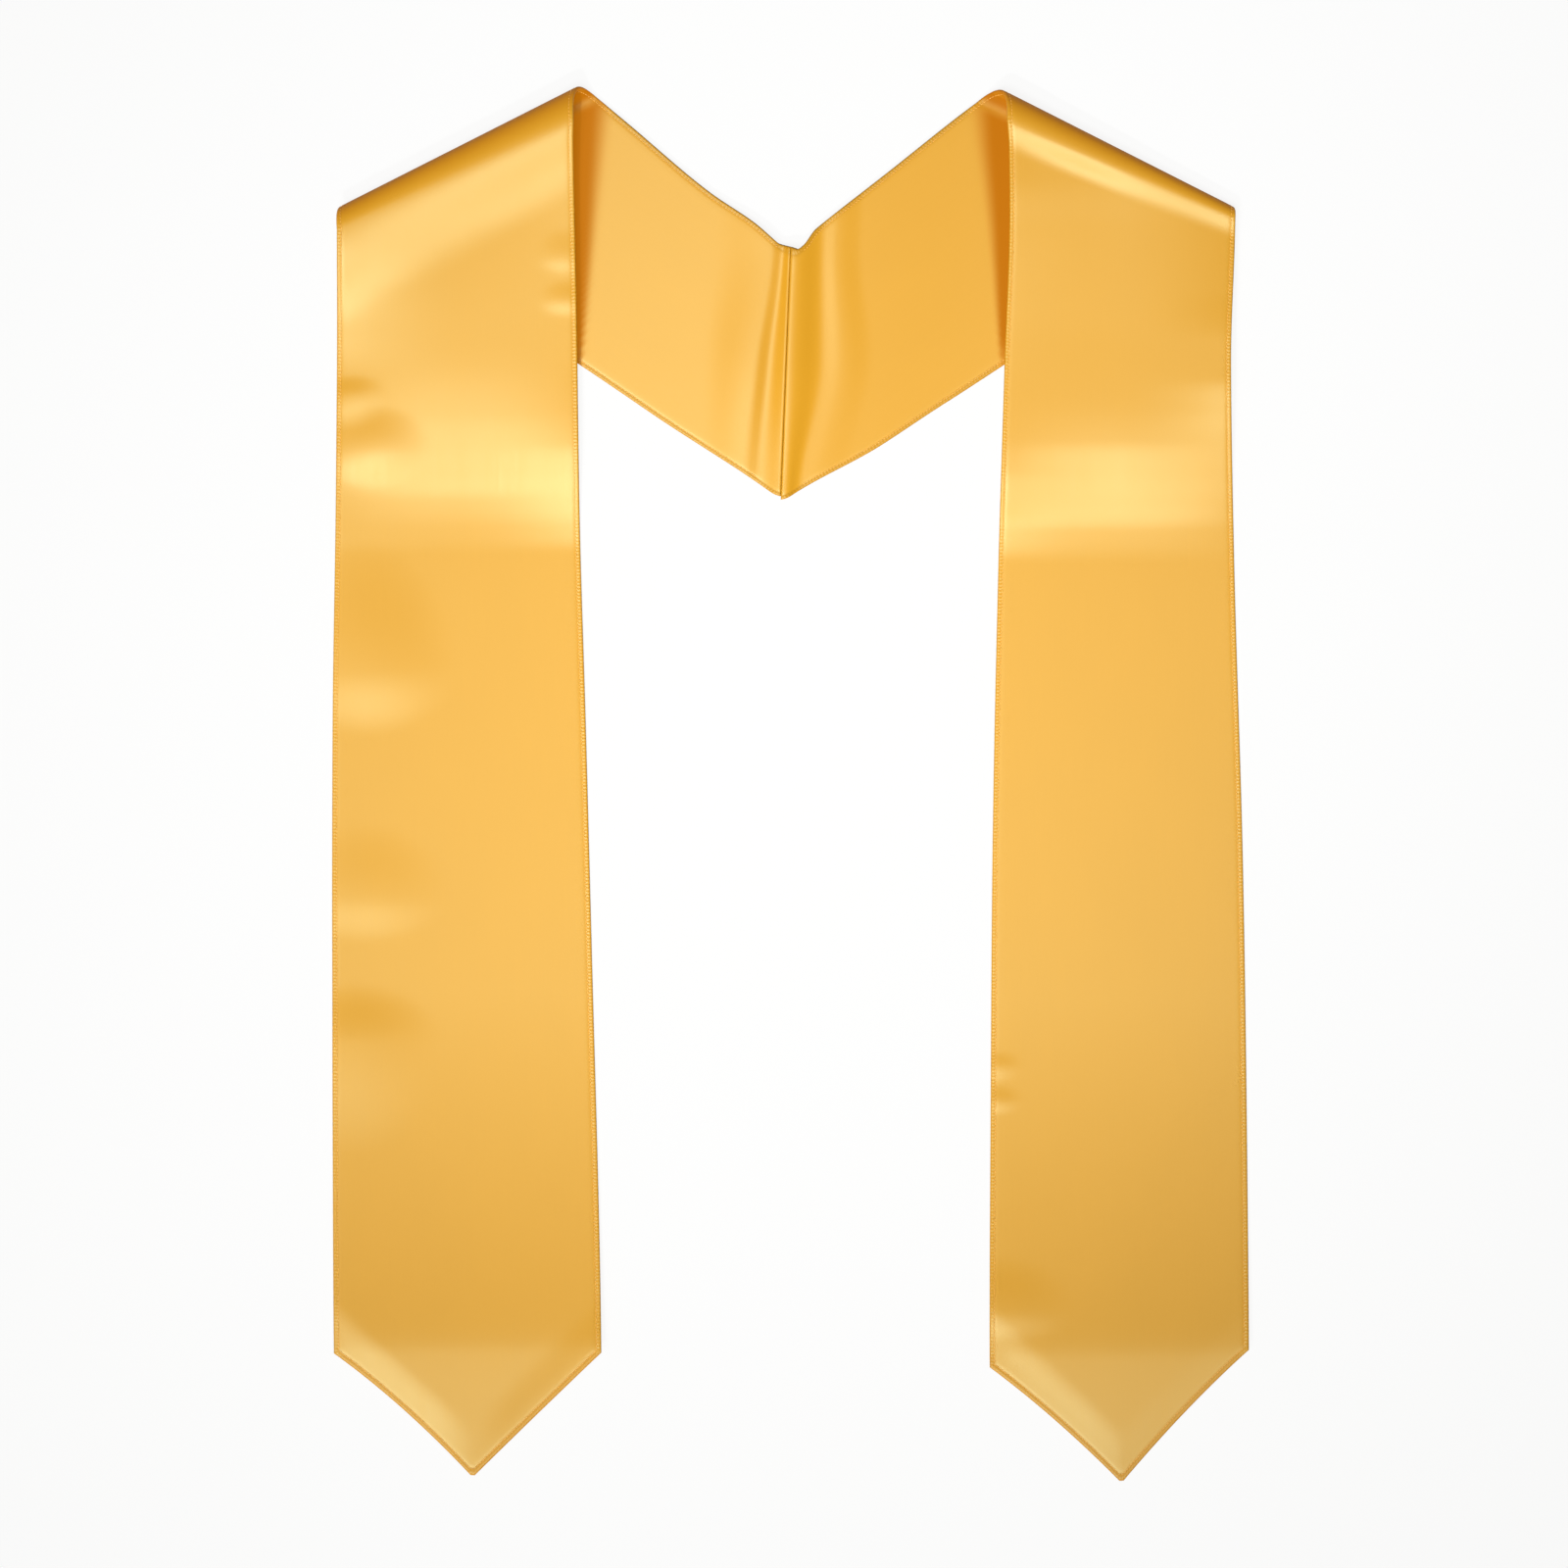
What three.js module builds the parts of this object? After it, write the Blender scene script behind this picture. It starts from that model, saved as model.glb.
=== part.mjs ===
// A graduation stole in gold satin, lying flat with its back seam up and both shoulders folded over.
// It is sewn from two mirrored halves, each an outer satin and a lining, with pointed front ends.
// Each half is worked out as a flat strip and then carried round its diagonal shoulder fold.
// Millimetres and degrees, +Z up, +X to the wearer's left as it lies, +Y towards the shoulders.
import * as THREE from 'three';

// Sizes of the whole stole
const shoulderSpan = 350; // between the middles of the two shoulder folds
const foldAngle = 26.8; // of each shoulder fold above level
const panelLength = 641; // of a front panel, from the middle of its fold to its corners
const pointLength = 66; // from the corners to the tip
const leftEndWidth = 142; // across the corners of the left pointed end
const rightEndWidth = 137.5; // and of the right one
const seamTilt = 2.3; // of the centre back seam from upright

// The cloth
const clothThickness = 1; // of each layer, with half of the interfacing
const layerGap = 0.3; // between outer satin and lining
const seamGap = 0.3; // between the two halves at the centre back seam

// The rolls of the shoulder folds: their heights at the fold's outer corner and at its neck end, and how
// far their crests lie in from the fold's outermost line there
const leftOuterHeight = 12;
const leftNeckHeight = 20;
const leftOuterInset = 9;
const leftNeckInset = 15;
const rightOuterHeight = 6.5;
const rightNeckHeight = 23;
const rightOuterInset = 4;
const rightNeckInset = 13;

// How loosely it lies
const looseness = 4.4; // of a front panel above the back panel that it covers
const fallLength = 42; // from the crest of a shoulder fold down to the level of the panel
const seamRise = 4.5; // of the cloth at the centre back seam
const seamReach = 30; // of the small folds on each side of that seam
const endRise = 4; // of a front panel's corners, whose tip comes down again

// The grid of each layer: columns across, and rows in each stretch from the seam to the tip
const columns = 8;
const backRows = 14;
const foldRows = 5;
const fallRows = 6;
const fanRows = 7;
const landingRows = 8;
const panelRows = 9;
const endRows = 7;
const seamCrowding = 1.8; // rows crowd towards the seam as this power

// The two halves as they lie: side is the side of X that a half lies on, lean the turn of its front panel
// towards the other, shift its place towards the shoulders, hang the further reach of its panel, cornerSkew
// how much lower its neck corner is than its middle, and tipShift how far its tip lies towards the neck.
// In edges, along is a share of the back length where negative and of the panel length where positive,
// and neck and outer are shares of the end width, measured across from the strip's middle line.
// In lift, along counts end widths from the fold, and the heights at the panel's outer edge, middle and
// neck edge are shares of the covered level.
const halves = [
  {
    name: 'left',
    side: -1,
    endWidth: leftEndWidth,
    lean: 0.6,
    shift: 0.6,
    hang: -0.8,
    cornerSkew: 0.5,
    tipShift: 2,
    foldHeight: { outer: leftOuterHeight, neck: leftNeckHeight },
    crestInset: { outer: leftOuterInset, neck: leftNeckInset },
    edges: [
      { along: -1.15, neck: 0.448, outer: 0.334 },
      { along: -0.8, neck: 0.45, outer: 0.358 },
      { along: -0.57, neck: 0.436, outer: 0.379 },
      { along: -0.3, neck: 0.458, outer: 0.402 },
      { along: -0.17, neck: 0.466, outer: 0.413 },
      { along: 0, neck: 0.455, outer: 0.43 },
      { along: 0.15, neck: 0.46, outer: 0.438 },
      { along: 0.29, neck: 0.461, outer: 0.45 },
      { along: 0.48, neck: 0.475, outer: 0.471 },
      { along: 0.66, neck: 0.488, outer: 0.481 },
      { along: 1, neck: 0.509, outer: 0.49 },
    ],
    lift: [
      { along: 0, outer: 1, middle: 1, neck: 1 },
      { along: 0.35, outer: 0.9, middle: 1, neck: 1 },
      { along: 0.68, outer: 0.68, middle: 1, neck: 1 },
      { along: 1, outer: 0.44, middle: 0.78, neck: 1 },
      { along: 1.23, outer: 0.26, middle: 0.46, neck: 0.88 },
      { along: 1.42, outer: 0.1, middle: 0.14, neck: 0.26 },
      { along: 1.56, outer: 0, middle: 0, neck: 0 },
      { along: 2.5, outer: 0, middle: 0, neck: 0 },
    ],
  },
  {
    name: 'right',
    side: 1,
    endWidth: rightEndWidth,
    lean: -0.2,
    shift: 1.5,
    hang: 2,
    cornerSkew: 4.4,
    tipShift: -1,
    foldHeight: { outer: rightOuterHeight, neck: rightNeckHeight },
    crestInset: { outer: rightOuterInset, neck: rightNeckInset },
    edges: [
      { along: -1.18, neck: 0.407, outer: 0.366 },
      { along: -0.9, neck: 0.407, outer: 0.406 },
      { along: -0.68, neck: 0.425, outer: 0.429 },
      { along: -0.28, neck: 0.444, outer: 0.452 },
      { along: 0.05, neck: 0.418, outer: 0.457 },
      { along: 0.18, neck: 0.438, outer: 0.438 },
      { along: 0.335, neck: 0.461, outer: 0.448 },
      { along: 0.6, neck: 0.489, outer: 0.479 },
      { along: 0.78, neck: 0.498, outer: 0.489 },
      { along: 1, neck: 0.506, outer: 0.494 },
    ],
    lift: [
      { along: 0, outer: 1, middle: 1, neck: 1 },
      { along: 0.9, outer: 1, middle: 1, neck: 1 },
      { along: 1.1, outer: 0.82, middle: 0.98, neck: 1 },
      { along: 1.25, outer: 0.56, middle: 0.74, neck: 1 },
      { along: 1.38, outer: 0.26, middle: 0.38, neck: 0.76 },
      { along: 1.48, outer: 0.07, middle: 0.1, neck: 0.18 },
      { along: 1.56, outer: 0, middle: 0, neck: 0 },
      { along: 2.5, outer: 0, middle: 0, neck: 0 },
    ],
  },
];

// The small folds beside the centre back seam, with their crests to the right of it where positive.
// Offset and reaches are shares of seamReach, rise is a share of seamRise, and taper is what is left
// of offset and reaches at the lower end of the seam.
const seamFolds = [
  { offset: -0.56, leftReach: 0.3, rightReach: 0.24, rise: 0.3, taper: 0.9 },
  { offset: 0, leftReach: 0.32, rightReach: 0.85, rise: 1, taper: 0.5 },
  { offset: 1.15, leftReach: 0.4, rightReach: 0.6, rise: 0.3, taper: 0.6 },
];

// Heights that follow from the cloth
const bandThickness = 2 * clothThickness + layerGap;
const restHeight = bandThickness / 2; // of the middle of the band where it lies on the floor
const coveredLevel = bandThickness + layerGap + looseness; // of a front panel over the back panel

const radians = THREE.MathUtils.degToRad;

// Value of one column of a table at a place along it: a smooth curve through every row that swings past
// none of them, and is level past both ends
function tableValue(rows, column, along) {
  const last = rows.length - 1;
  if (along <= rows[0].along) return rows[0][column];
  if (along >= rows[last].along) return rows[last][column];
  const after = rows.findIndex((row) => row.along > along);
  const steepness = (index) => {
    const [from, to] = [rows[index], rows[index + 1]];
    return (to[column] - from[column]) / (to.along - from.along);
  };
  const slopeAt = (index) => {
    if (index === 0 || index === last) return 0;
    const [below, above] = [steepness(index - 1), steepness(index)];
    return below * above > 0 ? (2 * below * above) / (below + above) : 0;
  };
  const [low, high] = [rows[after - 1], rows[after]];
  const run = high.along - low.along;
  const share = (along - low.along) / run;
  const ease = share * share * (3 - 2 * share);
  const lowPull = share * (1 - share) * (1 - share) * run * slopeAt(after - 1);
  const highPull = share * share * (share - 1) * run * slopeAt(after);
  return low[column] + (high[column] - low[column]) * ease + lowPull + highPull;
}

// Half a cosine wave, 1 at 0 and 0 from 1 on
function fade(share) {
  return (1 + Math.cos(Math.PI * THREE.MathUtils.clamp(share, 0, 1))) / 2;
}

// Directions and lengths of one half in the plane of the floor, with x outwards from the centre seam
function layOut(half) {
  const fold = radians(foldAngle);
  const lean = radians(half.lean);
  return {
    ...half,
    down: new THREE.Vector2(-Math.sin(lean), -Math.cos(lean)),
    inward: new THREE.Vector2(-Math.cos(lean), Math.sin(lean)),
    foldLine: new THREE.Vector2(-Math.cos(fold), Math.sin(fold)),
    foldOut: new THREE.Vector2(Math.sin(fold), Math.cos(fold)),
    foldMiddle: new THREE.Vector2(shoulderSpan / 2, half.shift),
    foldReach: half.endWidth / 2 / Math.cos(fold),
    backLength: shoulderSpan / 2 / Math.sin(2 * fold - lean),
    cornerLength: panelLength + half.hang,
  };
}

// Middle line and half width of the strip at a length from the fold
function stripWidth(half, length) {
  const along = length / (length < 0 ? half.backLength : half.cornerLength);
  const neck = half.endWidth * tableValue(half.edges, 'neck', along);
  const outer = half.endWidth * tableValue(half.edges, 'outer', along);
  return { middle: (neck - outer) / 2, reach: (neck + outer) / 2 };
}

// Distance across the strip of a share of its half width, 1 at the neck edge and -1 at the outer edge
function acrossAt(half, length, acrossShare) {
  const { middle, reach } = stripWidth(half, length);
  const pointShare = THREE.MathUtils.clamp((length - half.cornerLength) / pointLength, 0, 1);
  return middle + acrossShare * reach + half.tipShift * pointShare;
}

// Where a point of the strip lies by its fold: along the fold line, past its outermost line, and the
// size of the roll there, given by its radius, the inset of its crest and the lengths of its two arcs
function foldPlace(half, length, across) {
  const flat = half.down.clone().multiplyScalar(length).addScaledVector(half.inward, across);
  const place = flat.dot(half.foldLine);
  const share = THREE.MathUtils.clamp((place / half.foldReach + 1) / 2, 0, 1);
  const radius = THREE.MathUtils.lerp(half.foldHeight.outer, half.foldHeight.neck, share) / 2;
  const inset = THREE.MathUtils.lerp(half.crestInset.outer, half.crestInset.neck, share);
  const lowerArc = (Math.PI / 2) * radius;
  const upperArc = (Math.PI / 2) * Math.hypot(inset, radius) * Math.SQRT1_2;
  return { place, past: -flat.dot(half.foldOut), radius, inset, lowerArc, upperArc };
}

// Height of a front panel's middle above the level where it would lie on the floor
function panelLift(half, length, across) {
  const { middle, reach } = stripWidth(half, length);
  const share = THREE.MathUtils.clamp((across - middle) / reach, -1, 1);
  const at = (column) => tableValue(half.lift, column, length / half.endWidth);
  const side = share < 0 ? at('outer') : at('neck');
  const covered = coveredLevel * THREE.MathUtils.lerp(at('middle'), side, share * share);
  const pastCorners = length - half.cornerLength;
  const endRun = pastCorners < 0 ? -half.endWidth : pointLength;
  return covered + endRise * fade(pastCorners / endRun);
}

// Distance of a spot on the floor outwards from the seam line, which leans about its middle
function seamDistance(half, spot) {
  const tilt = radians(seamTilt) * half.side;
  const seamMiddle = (-shoulderSpan / 2) / Math.tan(2 * radians(foldAngle));
  return spot.x * Math.cos(tilt) - (spot.y - seamMiddle) * Math.sin(tilt);
}

// Height that the folds beside the seam add to a back panel
function seamLift(half, spot, acrossShare) {
  const rightwards = half.side * seamDistance(half, spot);
  let lift = 0;
  for (const fold of seamFolds) {
    const size = seamReach * THREE.MathUtils.lerp(1, fold.taper, (1 - acrossShare) / 2);
    const from = rightwards - fold.offset * size;
    const reach = size * (from < 0 ? fold.leftReach : fold.rightReach);
    lift += seamRise * fold.rise * fade(Math.abs(from) / reach);
  }
  return lift;
}

// The middle of the band's thickness, for a length from the fold and a distance across the strip
function bandPoint(half, length, across) {
  const { place, past, radius, inset, lowerArc, upperArc } = foldPlace(half, length, across);
  const spotAt = (depth) =>
    half.foldMiddle.clone().addScaledVector(half.foldLine, place).addScaledVector(half.foldOut, -depth);
  if (past < -lowerArc) {
    const { middle, reach } = stripWidth(half, length);
    const spot = spotAt(-past - lowerArc + radius);
    const lift = seamLift(half, spot, (across - middle) / reach);
    return new THREE.Vector3(spot.x, spot.y, restHeight + lift);
  }
  if (past < upperArc) {
    const turn = (Math.PI / 2) * (past / (past < 0 ? lowerArc : upperArc));
    const spot = spotAt((past < 0 ? radius : inset) * (1 - Math.cos(turn)));
    return new THREE.Vector3(spot.x, spot.y, restHeight + radius * (1 + Math.sin(turn)));
  }
  const spot = spotAt(past - upperArc + inset);
  const level = panelLift(half, length, across);
  const fall = fade((past - upperArc) / fallLength);
  return new THREE.Vector3(spot.x, spot.y, restHeight + level + (2 * radius - level) * fall);
}

// Unit vector towards the lining's side of the band, up on the back panel and down on the front panel
function liningSide(half, length, across) {
  const step = 0.05;
  const before = bandPoint(half, length - step, across);
  const outer = bandPoint(half, length, across - step);
  const lengthwise = bandPoint(half, length + step, across).sub(before);
  const crosswise = bandPoint(half, length, across + step).sub(outer);
  return lengthwise.cross(crosswise).normalize();
}

// Length in one column of the strip where a measure that grows with the length reaches a target
function lengthWhere(half, acrossShare, target, measure) {
  let low = -2 * half.backLength;
  let high = panelLength;
  for (let halving = 0; halving < 50; halving += 1) {
    const length = (low + high) / 2;
    const reached = measure(length, acrossAt(half, length, acrossShare)) >= target;
    if (reached) high = length;
    else low = length;
  }
  return high;
}

// Lengths of the grid's rows in one column, from the seam over the fold to the pointed end
function rowLengths(half, acrossShare) {
  const meets = (target, measure) => lengthWhere(half, acrossShare, target, measure);
  const fromSeam = (length, across) => seamDistance(half, bandPoint(half, length, across));
  const roundLower = (length, across) => {
    const { past, lowerArc } = foldPlace(half, length, across);
    return past / lowerArc;
  };
  const pastCrest = (length, across) => {
    const { past, upperArc } = foldPlace(half, length, across);
    return past - upperArc;
  };
  const stretches = [
    { from: meets(seamGap / 2, fromSeam), rows: backRows, crowding: seamCrowding },
    { from: meets(-1, roundLower), rows: foldRows },
    { from: meets(0, roundLower), rows: foldRows },
    { from: meets(0, pastCrest), rows: fallRows },
    { from: meets(fallLength, pastCrest), rows: fanRows },
    { from: half.endWidth, rows: landingRows },
    { from: half.lift.at(-2).along * half.endWidth, rows: panelRows },
    { from: half.cornerLength - half.endWidth, rows: endRows },
  ];
  const end = half.cornerLength + half.cornerSkew * acrossShare + pointLength * (1 - Math.abs(acrossShare));
  const lengths = [];
  stretches.forEach(({ from, rows, crowding = 1 }, index) => {
    const to = index + 1 < stretches.length ? stretches[index + 1].from : end;
    for (let row = 0; row < rows; row += 1) lengths.push(from + (to - from) * (row / rows) ** crowding);
  });
  lengths.push(end);
  return lengths;
}

// One layer of a half as a closed wall between two distances from the middle of the band
function layerGeometry(half, low, high) {
  const grid = [];
  for (let column = 0; column <= columns; column += 1) {
    const acrossShare = (2 * column) / columns - 1;
    grid.push(rowLengths(half, acrossShare).map((length) => {
      const across = acrossAt(half, length, acrossShare);
      return { middle: bandPoint(half, length, across), towards: liningSide(half, length, across) };
    }));
  }
  const rows = grid[0].length;
  const positions = [];
  for (const offset of [low, high]) {
    for (const { middle, towards } of grid.flat()) {
      const point = middle.clone().addScaledVector(towards, offset);
      positions.push(half.side * point.x, point.y, point.z);
    }
  }
  const index = [];
  const face = (a, b, c) => (half.side > 0 ? index.push(a, b, c) : index.push(a, c, b));
  const quad = (a, b, c, d) => {
    face(a, b, c);
    face(a, c, d);
  };
  const lowAt = (column, row) => column * rows + row;
  const highAt = (column, row) => lowAt(column, row) + (columns + 1) * rows;
  for (let column = 0; column < columns; column += 1) {
    for (let row = 0; row < rows - 1; row += 1) {
      quad(
        highAt(column, row),
        highAt(column, row + 1),
        highAt(column + 1, row + 1),
        highAt(column + 1, row),
      );
      quad(
        lowAt(column, row),
        lowAt(column + 1, row),
        lowAt(column + 1, row + 1),
        lowAt(column, row + 1),
      );
    }
  }
  const rim = [];
  for (let row = 0; row < rows - 1; row += 1) rim.push([0, row]);
  for (let column = 0; column < columns; column += 1) rim.push([column, rows - 1]);
  for (let row = rows - 1; row > 0; row -= 1) rim.push([columns, row]);
  for (let column = columns; column > 0; column -= 1) rim.push([column, 0]);
  rim.forEach((spot, number) => {
    const next = rim[(number + 1) % rim.length];
    quad(lowAt(...spot), lowAt(...next), highAt(...next), highAt(...spot));
  });
  const geometry = new THREE.BufferGeometry();
  geometry.setAttribute('position', new THREE.Float32BufferAttribute(positions, 3));
  geometry.setIndex(index);
  geometry.computeVertexNormals();
  return geometry;
}

const outerSatin = new THREE.MeshStandardMaterial({ color: 0xf3be5e, roughness: 0.36, metalness: 0 });
const liningSatin = new THREE.MeshStandardMaterial({ color: 0xeeb453, roughness: 0.4, metalness: 0 });

// Adds the two layers of one half, the outer satin below the lining on the back panel
function addHalf(stole, half) {
  const nearest = layerGap / 2;
  const farthest = nearest + clothThickness;
  const outer = new THREE.Mesh(layerGeometry(half, -farthest, -nearest), outerSatin);
  const lining = new THREE.Mesh(layerGeometry(half, nearest, farthest), liningSatin);
  outer.name = `${half.name}_outer`;
  lining.name = `${half.name}_lining`;
  stole.add(outer, lining);
}

const stole = new THREE.Group();
for (const half of halves) addHalf(stole, layOut(half));

// The origin is under the middle of the whole stole, at the level of the floor
const box = new THREE.Box3().setFromObject(stole);
const middle = box.getCenter(new THREE.Vector3());
stole.position.set(-middle.x, -middle.y, -box.min.z);

export default stole;
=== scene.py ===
"""The looks of a gold satin graduation stole that lies flat with both shoulders folded over.

Metres and degrees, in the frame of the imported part: +X to the right as seen from above, +Y towards the
shoulder folds, +Z up from the floor. Each half is worked out as a flat strip, with its length counted
from the middle of its shoulder fold and its width from its middle line, and then carried round the fold.
"""
import math
from types import SimpleNamespace

import bpy
import numpy as np
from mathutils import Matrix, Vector


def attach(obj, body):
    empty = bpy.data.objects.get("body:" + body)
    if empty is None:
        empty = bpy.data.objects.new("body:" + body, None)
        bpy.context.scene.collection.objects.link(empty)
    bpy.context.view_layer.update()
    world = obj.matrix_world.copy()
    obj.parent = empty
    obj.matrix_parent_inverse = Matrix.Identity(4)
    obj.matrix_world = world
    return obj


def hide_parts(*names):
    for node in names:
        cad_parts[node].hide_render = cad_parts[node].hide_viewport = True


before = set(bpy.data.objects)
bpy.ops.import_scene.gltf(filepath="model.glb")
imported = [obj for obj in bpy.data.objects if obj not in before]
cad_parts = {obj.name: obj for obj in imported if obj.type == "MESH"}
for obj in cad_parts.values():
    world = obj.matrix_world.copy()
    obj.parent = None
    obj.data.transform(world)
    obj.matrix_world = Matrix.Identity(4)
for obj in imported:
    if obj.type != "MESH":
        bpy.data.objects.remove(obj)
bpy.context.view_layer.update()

# Sizes of the whole stole, as in the part's source: between the middles of the shoulder folds, the angle of
# the folds above level, a front panel from the middle of its fold to its corners, from the corners to the
# tip, and how far the centre back seam leans
SHOULDER_SPAN = 0.350
FOLD_ANGLE = 26.8
PANEL_LENGTH = 0.641
POINT_LENGTH = 0.066
SEAM_TILT = 2.3

# The band's thickness, the middle of the band where it lies on the floor, and the level of a front panel
# over the back panel that it covers
BAND_THICKNESS = 0.0023
LAYER_GAP = 0.0003
LOOSENESS = 0.0044
REST_HEIGHT = BAND_THICKNESS / 2
COVERED_LEVEL = BAND_THICKNESS + LAYER_GAP + LOOSENESS

# The pointed ends: the height of the corners and of the tip, the stretch over which a panel rises to its
# corners and how softly it turns there, how far in from the slanted edges the cloth bends down or up to
# them, and the share of the half width over which that changes from the outer to the neck side
END_RISE = 0.0057
TIP_RISE = 0.0052
END_RUN = 0.190
END_RIDGE = 0.05
END_PILLOW_REACH = 0.022
END_PILLOW_TURN = 0.35

# Where the origin of the strips' frame lies in the frame of the part
STRIP_ORIGIN = (-0.002833, 0.335434)

# The pressed border: the steps of the mesh in from an edge, the stitched line among them, and the band's
# half thickness by the distance from the edge, through the stitched groove to the body of the band
EDGE_STEPS = (
    0, 0.00015, 0.0004, 0.0008, 0.0013, 0.0018, 0.0022,
    0.0026, 0.003, 0.0036, 0.0046, 0.006, 0.008,
)
STITCH_STEP = EDGE_STEPS.index(0.0026)
BODY_HALF = BAND_THICKNESS / 2
BORDER_PROFILE = {
    "along": (0.0016, 0.0026, 0.0036, 0.0060),
    "half": (0.00104, 0.00096, BODY_HALF * 0.96, BODY_HALF),
}

# The reach of the border's rounded edge, the gap between the layers and at the seam on each side of their
# middle, and the band's least half thickness
EDGE_ROUND = 0.0009
LAYER_CLEARANCE = 0.00008
SEAM_CLEARANCE = 0.00004
THINNEST_HALF = LAYER_CLEARANCE * 1.5

# Steps of the mesh away from the centre back seam, the reach of the groove there, and the share of the
# band's thickness that is left in it
SEAM_STEPS = (0, 0.0002, 0.0005, 0.0009, 0.0014, 0.002, 0.0028, 0.0038, 0.005, 0.0065)
SEAM_ROUND = 0.0012
SEAM_GROOVE_SHARE = 0.25

# How far the seam's foot is drawn towards the neck, the reach of that to each side, the share of the half
# width at which it starts, how far the seam of the outer satin lies to the right of the lining's, and the
# reach of that
SEAM_FOOT_DRAW = 0.0018
SEAM_FOOT_REACH = 0.006
SEAM_DRAW_START = 0.8
SEAM_STAGGER = 0.0005
SEAM_STAGGER_REACH = 0.009

# The width of the mesh's columns between the borders, the rows in each stretch of a strip from the seam
# steps to the border of the pointed end, and how often the search for a stretch's start halves its step
COLUMN_WIDTH = 0.0022
STRETCH_ROWS = {
    "back": 96,
    "lower": 14,
    "upper": 14,
    "fall": 28,
    "fan": 54,
    "landing": 40,
    "panel": 120,
    "end": 84,
}
SEARCH_HALVINGS = 50

# The two halves as they lie. Side is the side of X. A pair holds a size at the outer and at the neck end of
# the fold, or on the outer and on the neck side of the pointed end. The edges lie at shares of the end
# width, by shares of the length of the back panel below 0 and of the front panel above it. The front panel
# is lifted by shares of the covered level, by lengths in end widths. The dip is the seam's upper corner, and
# it is drawn towards the neck as the seam's foot is.
LEFT = {
    "name": "left",
    "side": -1,
    "end_width": 0.142,
    "lean": 0.6,
    "shift": 0.0006,
    "hang": -0.0008,
    "corner_skew": 0.0005,
    "tip_shift": 0.002,
    "fold_height": (0.012, 0.0165),
    "crest_inset": (0.009, 0.015),
    "back_inset": (0.006, 0.0095),
    "fall_length": (0.050, 0.037),
    "point_inset": (0.0033, 0.0003),
    "dip_reach": 0.0068,
    "dip_draw": 0.0032,
    "end_pillow": (0.0013, -0.0007),
    "edges": {
        "along": (-1.15, -0.8, -0.7, -0.57, -0.3, -0.17, 0, 0.15, 0.29, 0.48, 0.66, 1),
        "neck": (0.436, 0.436, 0.4455, 0.436, 0.458, 0.466, 0.455, 0.46, 0.461, 0.475, 0.488, 0.509),
        "outer": (0.322, 0.353, 0.36, 0.37, 0.402, 0.413, 0.43, 0.438, 0.45, 0.471, 0.481, 0.49),
    },
    "lift": {
        "along": (0, 0.13, 0.33, 0.53, 0.68, 0.85, 1.01, 1.12, 1.23, 1.32, 1.43, 1.52),
        "outer": (1.43, 1.43, 1.38, 0.91, 0.58, 0.33, 0.27, 0.22, 0.14, 0.08, 0.03, 0),
        "middle": (1.4, 1.39, 1.31, 1.21, 1.12, 1, 0.8, 0.59, 0.34, 0.14, 0.03, 0),
        "neck": (1.6, 1.57, 1.41, 1.24, 1.12, 1.04, 1.01, 0.95, 0.72, 0.42, 0.12, 0),
    },
}
RIGHT = {
    "name": "right",
    "side": 1,
    "end_width": 0.1375,
    "lean": -0.2,
    "shift": 0.0015,
    "hang": 0.002,
    "corner_skew": 0.0044,
    "tip_shift": -0.001,
    "fold_height": (0.0068, 0.0148),
    "crest_inset": (0.004, 0.014),
    "back_inset": (0.0036, 0.0115),
    "fall_length": (0.012, 0.018),
    "point_inset": (0.0024, 0.0024),
    "dip_reach": 0.0040,
    "dip_draw": 0.0048,
    "end_pillow": (0.0004, 0.0011),
    "edges": {
        "along": (-1.18, -0.9, -0.77, -0.72, -0.68, -0.5, -0.22, -0.12, 0.05, 0.18, 0.335, 0.6, 0.78, 1),
        "neck": (
            0.39, 0.39, 0.399, 0.4215, 0.425, 0.434, 0.449,
            0.437, 0.418, 0.438, 0.461, 0.489, 0.498, 0.506,
        ),
        "outer": (
            0.352, 0.400, 0.409, 0.413, 0.417, 0.431, 0.453,
            0.455, 0.457, 0.438, 0.448, 0.479, 0.489, 0.494,
        ),
    },
    "lift": {
        "along": (0, 0.14, 0.31, 0.56, 0.75, 0.9, 1.01, 1.14, 1.26, 1.37, 1.48, 1.6),
        "outer": (0.72, 0.74, 0.8, 0.95, 1.09, 1.09, 0.93, 0.61, 0.31, 0.11, 0.02, 0),
        "middle": (1.25, 1.22, 1.14, 1.06, 1.01, 0.99, 0.97, 0.89, 0.63, 0.32, 0.07, 0),
        "neck": (1.74, 1.7, 1.52, 1.29, 1.17, 1.12, 1.1, 1.07, 0.96, 0.62, 0.18, 0),
    },
}

# The folds beside the centre back seam: their hollows and ridges from left to right at three places down
# the seam, as distances to the right of the seam and as heights above a broad low tent
SEAM_TENT_RISE = 0.0022
SEAM_TENT_REACH = 0.125
SEAM_TOP = -0.0496
SEAM_FOOT = -0.1828
SEAM_DOWN = (0, 0.48, 1)
SEAM_FOLDS = (
    {"place": (-0.042, -0.046, -0.044), "height": (0, 0, 0)},
    {"place": (-0.0105, -0.0170, -0.0205), "height": (0.0019, 0.0025, 0.0014)},
    {"place": (-0.0045, -0.0090, -0.0120), "height": (0.0009, 0.0008, 0.0004)},
    {"place": (0.0022, 0.0022, 0.0024), "height": (0.0033, 0.0035, 0.0022)},
    {"place": (0.0170, 0.0190, 0.0090), "height": (0.0002, 0, 0.0001)},
    {"place": (0.0240, 0.0290, 0.0180), "height": (0.0007, 0.0006, 0.0003)},
    {"place": (0.0380, 0.0460, 0.0340), "height": (0, 0, 0)},
)

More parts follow.
